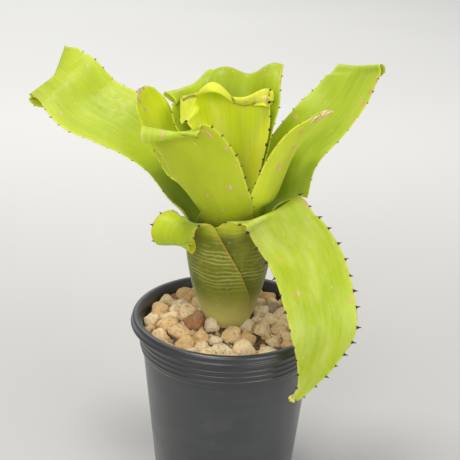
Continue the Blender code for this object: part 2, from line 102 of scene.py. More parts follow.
def softened(profile, rounds=2):
    """Cuts the corners of a moulded profile, as a tool's small radii do, and keeps its two ends."""
    points = [np.array(p, float) for p in profile]
    for _ in range(rounds):
        cut = [points[0]]
        for a, b in zip(points, points[1:]):
            reach = min(0.25, 0.5 / max(np.linalg.norm(b - a), 1e-6))
            cut += [a + (b - a) * reach, b - (b - a) * reach]
        points = cut + [points[-1]]
    return [tuple(p) for p in points]


in_scene = bpy.context.scene.collection.objects


def shown(name, bm):
    """The object of a finished bmesh, with its faces turned outwards."""
    bmesh.ops.recalc_face_normals(bm, faces=bm.faces[:])
    mesh = bpy.data.meshes.new(name)
    bm.to_mesh(mesh)
    bm.free()
    mesh.shade_smooth()
    obj = bpy.data.objects.new(name, mesh)
    in_scene.link(obj)
    return obj


def lathe(name, profile, turns):
    """A surface of revolution from (radius, height) points, closed where the radius is 0."""
    bm = bmesh.new()
    rings = []
    for radius, height in profile:
        count = turns if radius > 1e-6 else 1
        ring = [Vector(around(360 * k / turns, radius, height)) * MM for k in range(count)]
        rings.append([bm.verts.new(place) for place in ring])
    for low, high in zip(rings, rings[1:]):
        for k in range(turns):
            n = (k + 1) % turns
            corners = [low[k % len(low)], low[n % len(low)], high[n % len(high)], high[k % len(high)]]
            corners = list(dict.fromkeys(corners))
            if len(corners) > 2:
                bm.faces.new(corners)
    return shown(name, bm)


def plain_mesh(obj):
    """Replaces an object's mesh by what its modifiers make of it."""
    bpy.context.view_layer.update()
    made = bpy.data.meshes.new_from_object(obj.evaluated_get(bpy.context.evaluated_depsgraph_get()))
    obj.modifiers.clear()
    obj.data = made


def feed(tree, fed, inputs):
    """Gives each named input a value, or the socket that feeds it."""
    for key, value in inputs.items():
        if isinstance(value, bpy.types.NodeSocket):
            tree.links.new(value, fed.inputs[key])
        else:
            fed.inputs[key].default_value = value


def node(tree, kind, inputs=None, **settings):
    made = tree.nodes.new(kind)
    for key, value in settings.items():
        setattr(made, key, value)
    feed(tree, made, inputs or {})
    return made


def finish(name):
    """A new material with its tree, its shader and the place on the object."""
    made = bpy.data.materials.new(name)
    made.use_nodes = True
    tree = made.node_tree
    return made, tree, tree.nodes["Principled BSDF"], node(tree, "ShaderNodeTexCoord").outputs["Object"]


def sums(tree, operation, a, b=0.0, c=0.0):
    return node(tree, "ShaderNodeMath", {0: a, 1: b, 2: c}, operation=operation).outputs[0]


def ranged(tree, value, low, high, to_low=0.0, to_high=1.0):
    """The value taken from one range to another, with a smooth ramp and clamped ends."""
    inputs = {"Value": value, "From Min": low, "From Max": high, "To Min": to_low, "To Max": to_high}
    return node(tree, "ShaderNodeMapRange", inputs, interpolation_type="SMOOTHSTEP").outputs[0]


def grain(tree, where, scale, detail=3.0, roughness=0.55, stretch=None):
    """Noise round 0.5 at a place, drawn out along the axes that stretch makes small."""
    if stretch:
        where = node(tree, "ShaderNodeVectorMath", {0: where, 1: stretch}, operation="MULTIPLY").outputs[0]
    inputs = {"Vector": where, "Scale": scale, "Detail": detail, "Roughness": roughness}
    return node(tree, "ShaderNodeTexNoise", inputs).outputs[0]


def tinted(tree, share, first, second):
    """Two colours mixed by a share."""
    first, second = ((*c, 1.0) if isinstance(c, tuple) else c for c in (first, second))
    inputs = {0: share, 6: first, 7: second}
    return node(tree, "ShaderNodeMix", inputs, data_type="RGBA").outputs[2]


def raised(tree, height, strength, distance):
    inputs = {"Height": height, "Strength": strength, "Distance": distance}
    return node(tree, "ShaderNodeBump", inputs).outputs[0]


def black_plastic():
    made, tree, shader, where = finish("black polypropylene")
    flow = grain(tree, where, 18, 3, 0.5, (1.0, 1.0, 14.0))
    pale = ranged(tree, flow, 0.35, 0.75, 0.0, 0.45)
    tint = tinted(tree, pale, (0.022, 0.025, 0.029), (0.038, 0.042, 0.046))
    dust = ranged(tree, grain(tree, where, 55, 5, 0.7), 0.52, 0.75, 0.0, 0.5)
    tint = tinted(tree, dust, tint, (0.062, 0.063, 0.062))
    spots = node(tree, "ShaderNodeTexVoronoi", {"Vector": where, "Scale": 90.0}).outputs[0]
    speck = ranged(tree, spots, 0.035, 0.06, 0.8, 0.0)
    rare = ranged(tree, grain(tree, where, 25, 2), 0.60, 0.68)
    tint = tinted(tree, sums(tree, "MULTIPLY", speck, rare), tint, (0.42, 0.40, 0.36))
    # Painted shade: above about 100 mm the colour is mixed most of the way to near black, so the collar and
    # lip look darker than the body; this darkness is painted shade, not the plastic's own colour.
    level = node(tree, "ShaderNodeSeparateXYZ", {0: where}).outputs[2]
    tint = tinted(tree, ranged(tree, level, 0.094, 0.101, 0.0, 0.7), tint, (0.008, 0.009, 0.010))
    gloss = ranged(tree, grain(tree, where, 40, 4), 0.3, 0.7, 0.30, 0.44)
    skin = grain(tree, where, 900, 2, 0.5)
    drawn = grain(tree, where, 120, 2, 0.5, (1.0, 1.0, 8.0))
    height = sums(tree, "MULTIPLY_ADD", drawn, 0.6, skin)
    feed(tree, shader, {
        "Base Color": tint, "Roughness": gloss, "Normal": raised(tree, height, 0.25, 0.0002),
        "Coat Weight": 0.6, "Coat Roughness": 0.34,
    })
    return made


pot_outside = [(0, 0), (body_radius(0) - POT_FOOT_EDGE, 0), (body_radius(POT_FOOT_EDGE), POT_FOOT_EDGE)]
pot_outside += [(body_radius(50), 50), (body_radius(COLLAR_FOOT), COLLAR_FOOT)]
pot_outside.append((body_radius(COLLAR_FOOT) + COLLAR_STEP, COLLAR_FOOT + COLLAR_EDGE))
for rib in RIB_HEIGHTS:
    face = body_radius(rib) + COLLAR_STEP
    pot_outside += [(face, rib - RIB_HALF), (face + RIB_DEPTH, rib - 0.25)]
    pot_outside += [(face + RIB_DEPTH, rib + 0.25), (face, rib + RIB_HALF)]
pot_lip = [
    (body_radius(LIP_FOOT) + COLLAR_STEP, LIP_FOOT),
    (LIP_OUTER - LIP_WAIST / 2, LIP_FOOT),
    (LIP_OUTER, LIP_FOOT + LIP_BEAD / 2),
    (LIP_OUTER - LIP_WAIST / 4, LIP_FOOT + LIP_BEAD),
    (LIP_OUTER - LIP_WAIST, LIP_FOOT + LIP_BEAD + LIP_WAIST / 2),
    (LIP_OUTER - LIP_WAIST, POT_HEIGHT - LIP_EDGE),
    (LIP_CREST + LIP_EDGE, POT_HEIGHT - LIP_EDGE / 8),
    (LIP_CREST, POT_HEIGHT),
    (wall_radius(POT_HEIGHT) + LIP_EDGE, POT_HEIGHT - LIP_EDGE / 2),
    (wall_radius(LIP_FOOT), LIP_FOOT),
]
pot_inside = [(wall_radius(60), 60), (wall_radius(POT_FLOOR), POT_FLOOR), (0, POT_FLOOR)]
pot = lathe("nursery_pot", softened(pot_outside + pot_lip + pot_inside), POT_TURNS)
drills = bpy.data.collections.new("drain_drills")
bpy.context.scene.collection.children.link(drills)
for k in range(DRAIN_HOLES):
    drill = lathe("drain_drill", ((0, -2), (DRAIN_RADIUS, -2), (DRAIN_RADIUS, 5), (0, 5)), 24)
    middle = Vector(around(360 * (k + 0.5) / DRAIN_HOLES, DRAIN_RING, 0)) * MM
    drill.data.transform(Matrix.Translation(middle))
    in_scene.unlink(drill)
    drills.objects.link(drill)
drilling = pot.modifiers.new("drain_holes", "BOOLEAN")
drilling.operand_type = "COLLECTION"
drilling.collection = drills
plain_mesh(pot)
for drill in list(drills.objects):
    bpy.data.objects.remove(drill)
bpy.data.collections.remove(drills)
pot.data.materials.clear()
pot.data.materials.append(black_plastic())
pot.data.shade_smooth()
pot.data.set_sharp_from_angle(angle=math.radians(40))
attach(pot, "root")
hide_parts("pot")

# Pumice bed
# Crushed, tumbled pumice of 7 to 13 mm heaped over a finer gritty mix, cream to tan with a few brown stones.
# The stones lie loose, pressed against the pot's wall and round the foot of the plant.
BED_EDGE = 112.5
BED_HEAP = 117.0
STONE_COUNT = 84
STONE_SMALL = 3.5
STONE_LARGE = 6.0
STONE_SPACING = 0.86
STONE_SINK = 0.4
STONE_FIT = 0.75
STONE_TRIES = 60
STONE_SEED = 11
STONE_SHAPES = 12
STONE_CUTS = 10
STONE_ROUNDING = 18
HOLE_MARGIN = 2.2
WALL_PLAY = 0.45
TUBE_PLAY = 0.5
MIX_PLAY = 0.35
GRIT_COUNT = 320
GRIT_SIZES = (1.5, 3.4)
GRIT_DEPTHS = (-3.2, -0.8)
GRIT_SEED = 5
BROWN_FIRST = 5
BROWN_EVERY = 17
HOLE_FOOT = 92.0
HOLE_RADIUS = 12.2
TUBE = (
    (100, 9.0), (105, 10.2), (112, 11.6), (125, 15.6), (138, 19.6),
    (150, 22.0), (158, 22.9), (166, 23.5), (180, 24.2), (195, 25.0),
)


def curve(knots, x):
    """The value at x of a curve through (place, value) pairs that never overshoots them."""
    places = [k[0] for k in knots]
    values = [k[1] for k in knots]
    if x <= places[0]:
        return values[0]
    if x >= places[-1]:
        return values[-1]
    count = len(knots)
    rises = [(values[i + 1] - values[i]) / (places[i + 1] - places[i]) for i in range(count - 1)]
    slopes = [rises[0]]
    for i in range(1, count - 1):
        before, after = rises[i - 1], rises[i]
        slopes.append(0 if before * after <= 0 else 2 * before * after / (before + after))
    slopes.append(rises[-1])
    i = max(j for j in range(count - 1) if places[j] <= x)
    span = places[i + 1] - places[i]
    t = (x - places[i]) / span
    start = values[i] * (1 + 2 * t) * (1 - t) ** 2 + slopes[i] * span * t * (1 - t) ** 2
    return start + values[i + 1] * t * t * (3 - 2 * t) + slopes[i + 1] * span * t * t * (t - 1)


def bed_height(radius):
    share = (radius - HOLE_RADIUS) / (wall_radius(BED_EDGE) - HOLE_RADIUS)
    return BED_HEAP + (BED_EDGE - BED_HEAP) * share


def stone_places(draw):
    """Dart throwing between the leaf tube and the wall, large stones first."""
    inner = HOLE_RADIUS + HOLE_MARGIN
    outer = wall_radius(BED_EDGE)
    places = []
    for _ in range(STONE_COUNT * STONE_TRIES):
        size = STONE_LARGE - (STONE_LARGE - STONE_SMALL) * min(1.0, len(places) / (0.8 * STONE_COUNT))
        limit = outer - size * STONE_FIT
        radius = math.sqrt(draw.uniform(inner**2, limit**2))
        spot = Vector(around(draw.uniform(0, 360), radius, bed_height(radius) - STONE_SINK))
        if all((spot - other).length > STONE_SPACING * (size + reach) for other, reach in places):
            places.append((spot, size))
        if len(places) == STONE_COUNT:
            break
    return places


def tumbled_stone(draw, subdivisions):
    """A lump cut by random planes and worn round again, with a radius of about 1."""
    bm = bmesh.new()
    bmesh.ops.create_icosphere(bm, subdivisions=subdivisions, radius=1.0)
    cuts = []
    for _ in range(STONE_CUTS):
        flat = Vector([draw.gauss(0, 1) for _ in range(3)]).normalized()
        cuts.append((flat, draw.uniform(0.66, 0.98)))
    squash = Vector((draw.uniform(1.0, 1.2), draw.uniform(0.9, 1.02), draw.uniform(0.8, 0.95)))
    lumps = []
    for _ in range(5):
        wave = Vector([draw.gauss(0, 1) for _ in range(3)]) * draw.uniform(2, 5)
        lumps.append((wave, draw.uniform(0, 6)))
    for vert in bm.verts:
        heading = vert.co.normalized()
        reaches = [depth / max(flat.dot(heading), 0.05) for flat, depth in cuts] + [1.18]
        worn = sum(reach**-STONE_ROUNDING for reach in reaches) ** (-1 / STONE_ROUNDING)
        worn += 0.024 * sum(math.sin(wave.dot(heading) + phase) for wave, phase in lumps)
        worn += 0.05 * noise.fractal(heading * 3.2 + Vector(squash * 9), 0.6, 2.0, 4)
        vert.co = Vector([a * b for a, b in zip(heading * worn, squash)])
    return bm


def node_group(name, shape_kind):
    """A node group that takes points, a shape to set on them, a seed and a finish."""
    tree = bpy.data.node_groups.new(name, "GeometryNodeTree")
    sockets = {}
    kinds = {"Points": "Geometry", "Shape": shape_kind, "Seed": "Int", "Finish": "Material"}
    for label, kind in kinds.items():
        made = tree.interface.new_socket(label, in_out="INPUT", socket_type="NodeSocket" + kind)
        sockets[label] = made.identifier
    tree.interface.new_socket("Result", in_out="OUTPUT", socket_type="NodeSocketGeometry")
    return tree, sockets, node(tree, "NodeGroupInput").outputs


def read_attribute(tree, name, kind="FLOAT"):
    return node(tree, "GeometryNodeInputNamedAttribute", {"Name": name}, data_type=kind).outputs[0]


def drawn_vector(tree, seed, low, high):
    inputs = {0: low, 1: high, "Seed": seed}
    return node(tree, "FunctionNodeRandomValue", inputs, data_type="FLOAT_VECTOR").outputs[0]


def end_group(tree, instances, finish_socket):
    """Ends a node group: the instances are made real and get their finish."""
    real = node(tree, "GeometryNodeRealizeInstances", {"Geometry": instances})
    skin = node(tree, "GeometryNodeSetMaterial", {"Geometry": real.outputs[0], "Material": finish_socket})
    end = node(tree, "NodeGroupOutput")
    tree.links.new(skin.outputs[0], end.inputs[0])


def stone_group():
    """Sets a stone from a collection on each point, turned at random and as large as its radius says."""
    tree, sockets, given = node_group("stones on points", "Collection")
    inputs = {"Collection": given["Shape"], "Separate Children": True, "Reset Children": True}
    shapes = node(tree, "GeometryNodeCollectionInfo", inputs)
    tumble = drawn_vector(tree, given["Seed"], (0, 0, 0), (6.283, 6.283, 6.283))
    inputs = {4: 0, 5: STONE_SHAPES - 1, "Seed": given["Seed"]}
    pick = node(tree, "FunctionNodeRandomValue", inputs, data_type="INT")
    turn = node(tree, "FunctionNodeEulerToRotation", {0: tumble})
    inputs = {
        "Points": given["Points"], "Instance": shapes.outputs[0], "Rotation": turn.outputs[0],
        "Pick Instance": True, "Instance Index": pick.outputs[2], "Scale": read_attribute(tree, "radius"),
    }
    laid = node(tree, "GeometryNodeInstanceOnPoints", inputs)
    end_group(tree, laid.outputs[0], given["Finish"])
    return tree, sockets


def noted(name, places, faces, columns):
    """A mesh from points in metres, which carry each column of values as an attribute."""
    mesh = bpy.data.meshes.new(name)
    mesh.from_pydata(places, [], faces)
    for label, column in columns.items():
        flat = np.array(column, np.float32)
        kind, key = ("FLOAT", "value") if flat.ndim == 1 else ("FLOAT_VECTOR", "vector")
        mesh.attributes.new(label, kind, "POINT").data.foreach_set(key, flat.reshape(-1))
    return mesh


def grown_on(name, places, columns, group, values):
    """What a node group makes on points in metres with their columns of values."""
    mesh = noted(name, places, [], columns)
    obj = bpy.data.objects.new(name, mesh)
    in_scene.link(obj)
    tree, sockets = group
    growing = obj.modifiers.new("growing", "NODES")
    growing.node_group = tree
    for label, value in values.items():
        growing[sockets[label]] = value
    plain_mesh(obj)
    return obj


def pumice():
    made, tree, shader, where = finish("pumice")
    tone = node(tree, "ShaderNodeAttribute", attribute_name="tone").outputs["Fac"]
    shift = sums(tree, "MULTIPLY_ADD", grain(tree, where, 160, 3), 0.30, -0.15)
    ramp = node(tree, "ShaderNodeValToRGB", {0: sums(tree, "ADD", tone, shift)})
    stops = ((0.0, (1.0, 0.82, 0.52)), (0.35, (1.0, 0.76, 0.42)), (0.62, (0.94, 0.62, 0.28)),
             (0.82, (0.66, 0.42, 0.18)), (0.90, (0.52, 0.21, 0.06)), (1.0, (0.44, 0.38, 0.29)))
    for stop, colour in stops[1:-1]:
        ramp.color_ramp.elements.new(stop).color = (*colour, 1)
    ramp.color_ramp.elements[0].color = (*stops[0][1], 1)
    ramp.color_ramp.elements[-1].color = (*stops[-1][1], 1)
    stain = ranged(tree, grain(tree, where, 420, 5, 0.7), 0.54, 0.68, 0.0, 0.75)
    tint = tinted(tree, stain, ramp.outputs[0], (0.44, 0.25, 0.09))
    cells = node(tree, "ShaderNodeTexVoronoi", {"Vector": where, "Scale": 1500.0}).outputs[0]
    pores = ranged(tree, cells, 0.12, 0.32, 1.0, 0.0)
    open_pores = sums(tree, "MULTIPLY", pores, ranged(tree, grain(tree, where, 300, 2), 0.42, 0.60))
    # Painted shade: the open pores are painted dark brown, standing in for the shade inside the holes.
    tint = tinted(tree, sums(tree, "MULTIPLY", open_pores, 0.7), tint, (0.16, 0.10, 0.05))
    flecks = ranged(tree, grain(tree, where, 2400, 2, 0.6), 0.60, 0.72, 0.0, 0.5)
    tint = tinted(tree, flecks, tint, (0.95, 0.88, 0.70))
    rough = sums(tree, "ADD", grain(tree, where, 900, 5, 0.7), grain(tree, where, 320, 3, 0.6))
    height = sums(tree, "MULTIPLY_ADD", open_pores, -0.8, rough)
    feed(tree, shader, {"Base Color": tint, "Roughness": 0.93, "Normal": raised(tree, height, 1.0, 0.0016)})
    return made


def dark_mix():
    made, tree, shader, where = finish("gritty potting mix")
    crumbs = node(tree, "ShaderNodeTexVoronoi", {"Vector": where, "Scale": 650.0}).outputs[0]
    tint = tinted(tree, ranged(tree, crumbs, 0.1, 0.7), (0.17, 0.11, 0.06), (0.05, 0.035, 0.02))
    tint = tinted(tree, ranged(tree, grain(tree, where, 300, 4), 0.45, 0.7), tint, (0.30, 0.21, 0.12))
    feed(tree, shader, {"Base Color": tint, "Roughness": 0.95, "Normal": raised(tree, crumbs, 0.9, 0.0012)})
    return made


def lay_stones(name, points, shapes, seed, skin):
    """Stones, each on its (place, radius, tone), pressed back to the wall and off the plant's tube."""
    columns = {"radius": [p[1] * MM for p in points], "tone": [p[2] for p in points]}
    values = {"Shape": shapes, "Seed": seed, "Finish": skin}
    laid = grown_on(name, [p[0] * MM for p in points], columns, stone_group(), values)
    for vert in laid.data.vertices:
        x, y, z = vert.co / MM
        out = math.hypot(x, y)
        most = wall_radius(z) - WALL_PLAY
        least = curve(TUBE, z) + TUBE_PLAY
        press = min(out, most) if out > least else least
        vert.co = (x * press / out * MM, y * press / out * MM, z * MM)
    laid.data.shade_smooth()
    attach(laid, "root")


stone_draw = random.Random(STONE_SEED)
laid_stones = stone_places(stone_draw)
shape_draw = random.Random(GRIT_SEED)
stone_shapes = bpy.data.collections.new("stone_shapes")
grit_shapes = bpy.data.collections.new("grit_shapes")
for k in range(STONE_SHAPES):
    for group, subdivisions in ((stone_shapes, 4), (grit_shapes, 2)):
        lump = shown("lump", tumbled_stone(shape_draw, subdivisions))
        in_scene.unlink(lump)
        group.objects.link(lump)
pumice_skin = pumice()
tones = [shape_draw.random() ** 1.7 * 0.74 for _ in laid_stones]
for k in range(BROWN_FIRST, len(tones), BROWN_EVERY):
    tones[k] = shape_draw.choice((0.90, 0.97, 1.0))
stones = [(place, size * 1.04, tone) for (place, size), tone in zip(laid_stones, tones)]
lay_stones("pumice_stones", stones, stone_shapes, STONE_SEED, pumice_skin)
grit = []
for _ in range(GRIT_COUNT):
    size = shape_draw.uniform(*GRIT_SIZES)
    radius = math.sqrt(shape_draw.uniform((HOLE_RADIUS + 1.5) ** 2, (wall_radius(BED_EDGE) - size) ** 2))
    azimuth = shape_draw.uniform(0, 360)
    height = bed_height(radius) + shape_draw.uniform(*GRIT_DEPTHS)
    grit.append((Vector(around(azimuth, radius, height)), size, shape_draw.uniform(0.1, 0.95)))
lay_stones("pumice_grit", grit, grit_shapes, GRIT_SEED, pumice_skin)
for group in (stone_shapes, grit_shapes):
    for lump in list(group.objects):
        bpy.data.objects.remove(lump)
    bpy.data.collections.remove(group)
mix_floor = POT_FLOOR + MIX_PLAY
mix_profile = [(0, mix_floor)]
mix_profile += [(wall_radius(level) - MIX_PLAY, level) for level in (mix_floor, BED_EDGE)]
mix_profile += [(HOLE_RADIUS, BED_HEAP), (HOLE_RADIUS, HOLE_FOOT), (0, HOLE_FOOT)]
mix = lathe("potting_mix", mix_profile, 96)
mix.data.materials.append(dark_mix())
mix.data.set_sharp_from_angle(angle=math.radians(40))
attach(mix, "root")
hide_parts("pumice_bed")

# Stem
# The plant's short woody stock, with stub roots round its foot, hidden inside the leaf bases.
# Its solid is right as it is and gets the dry, ringed bark of old leaf scars.


def bark():
    made, tree, shader, where = finish("stock bark")
    rings = grain(tree, where, 300, 4, 0.6, (0.3, 0.3, 2.5))
    tint = tinted(tree, ranged(tree, rings, 0.35, 0.65), (0.36, 0.24, 0.11), (0.14, 0.08, 0.035))
    tint = tinted(tree, ranged(tree, grain(tree, where, 700, 4), 0.55, 0.75), tint, (0.48, 0.38, 0.22))
    feed(tree, shader, {"Base Color": tint, "Roughness": 0.88, "Normal": raised(tree, rings, 0.8, 0.0006)})
    return made


stem_mesh = frame["nodes"]["stem"].data
stem_mesh.materials.clear()
stem_mesh.materials.append(bark())

# Front leaf, curled
# The oldest leaf, which wraps the tube's front left and rolls outwards and down in a short scroll.
# Its outside is grey-green under bands of white scales; its right margin is a dry orange-brown line.
NEST = 1.45
LEAF_COLUMNS = 44
ROW_STEP = 1.25
SHEATH_ROW_STEP = 2.5
BAND_PITCH = 2.3
SHEET = 0.64
MIDDLE = 0.9
MARGIN_BULGE = 0.28
CLOSED_END = 3.0
END_ROWS = (2.6, 2.0, 1.4, 0.9, 0.5, 0.2, 0.0)
TOOTH_SET = 0.35


def smooth(t):
    t = min(1.0, max(0.0, t))
    return t * t * (3 - 2 * t)


def tube_radius(height, layer=0):
    return curve(TUBE, height) - layer * NEST


class Leaf:
    """A leaf's mid surface: v runs from the root (below 0) past the crest (0) to the tip, and u across it."""

    def __init__(self, facing, layer, root, crest, blend, wrap, stations, wave=None):
        self.facing, self.layer, self.root, self.crest, self.blend = facing, layer, root, crest, blend
        self.wrap, self.stations, self.wave = wrap, stations, wave
        left, right = self.wrapping(1.0)
        self.crest_facing = facing + (right - left) / 2
        crest_width = tube_radius(crest, layer) * math.radians(left + right)
        self.trace()
        first = (self.crest_facing, crest_width, (left + right) / 2, 0.0, 0.0)
        along = [first] + [tuple(s[3:]) + (0.0,) * (8 - len(s)) for s in stations]
        self.facings, self.widths, self.cups, self.rolls, self.leans = (
            [(place, row[j]) for place, row in zip(self.marks, along)] for j in range(5)
        )

    def wrapping(self, share):
        return [curve([(knot[0], knot[j]) for knot in self.wrap], share) for j in (1, 2)]

    def trace(self, steps=24):
        """The centre line above the crest, as a centripetal Catmull-Rom curve through the stations."""
        below = self.crest - 14
        points = [around(self.crest_facing, tube_radius(z, self.layer), z) for z in (below, self.crest)]
        points += [around(*station[:3]) for station in self.stations]
        points.append(2 * points[-1] - points[-2])
        line = []
        marks = [0]
        for i in range(1, len(points) - 2):
            p = points[i - 1 : i + 3]
            t = [0.0]
            for a, b in zip(p, p[1:]):
                t.append(t[-1] + math.sqrt(np.linalg.norm(b - a)))
            for j in range(steps):
                x = t[1] + (t[2] - t[1]) * j / steps
                level = p
                for reach in (1, 2):
                    level = [
                        ((t[k + reach] - x) * a + (x - t[k]) * b) / (t[k + reach] - t[k])
                        for k, (a, b) in enumerate(zip(level, level[1:]))
                    ]
                line.append(((t[2] - x) * level[0] + (x - t[1]) * level[1]) / (t[2] - t[1]))
            marks.append(len(line))
        line.append(points[-2])
        self.line = np.array(line)
        runs = np.linalg.norm(np.diff(self.line, axis=0), axis=1)
        self.places = np.concatenate([[0.0], np.cumsum(runs)])
        tangents = np.gradient(self.line, self.places, axis=0)
        self.tangents = tangents / np.linalg.norm(tangents, axis=1)[:, None]
        self.marks = [self.places[m] for m in marks]
        self.length = self.places[-1]

    def along(self, table, v):
        return np.array([np.interp(v, self.places, table[:, j]) for j in range(3)])

    def row(self, v, us, close=0.0):
        """The points at v for an array of u, with half the width, all in millimetres."""
        if v < 0:
            share = (v + self.crest - self.root) / (self.crest - self.root)
            left, right = self.wrapping(share)
            radius = tube_radius(v + self.crest, self.layer)
            azimuths = np.radians(self.facing + (right - left) / 2 + us * (left + right) / 2)
            heights = np.full(len(us), v + self.crest)
            points = np.stack([radius * np.sin(azimuths), -radius * np.cos(azimuths), heights], axis=1)
            return points, radius * math.radians(left + right) / 2
        blend = smooth(v / self.blend)
        tangent = np.array([0, 0, 1.0]) * (1 - blend) + self.along(self.tangents, v) * blend
        tangent /= np.linalg.norm(tangent)
        facing = math.radians(curve(self.facings, v))
        across = np.array([math.cos(facing), math.sin(facing), 0])
        across -= tangent * (across @ tangent)
        across /= np.linalg.norm(across)
        inward = np.cross(tangent, across)
        roll = math.radians(curve(self.rolls, v))
        side = math.cos(roll) * across + math.sin(roll) * inward
        face = math.cos(roll) * inward - math.sin(roll) * across
        cup = math.radians(curve(self.cups, v))
        half = curve(self.widths, v) / 2
        if close:
            half *= math.sqrt(max(0.02, 1 - max(0.0, 1 - (self.length - v) / close) ** 2))
        radius = half / cup
        x = radius * np.sin(us * cup)
        y = radius * (1 - np.cos(us * cup))
        if self.wave:
            depth, count, phase, start, end = self.wave
            ramp = smooth((v - start) / (end - start))
            y = y + depth * ramp * np.cos(math.pi * count * us + math.radians(phase))
        lean = math.tan(math.radians(curve(self.leans, v)))
        return self.along(self.line, v) + np.outer(x, side + lean * tangent) + np.outer(y, face), half


def surface(tree, label):
    return node(tree, "ShaderNodeAttribute", attribute_name=label).outputs["Fac"]


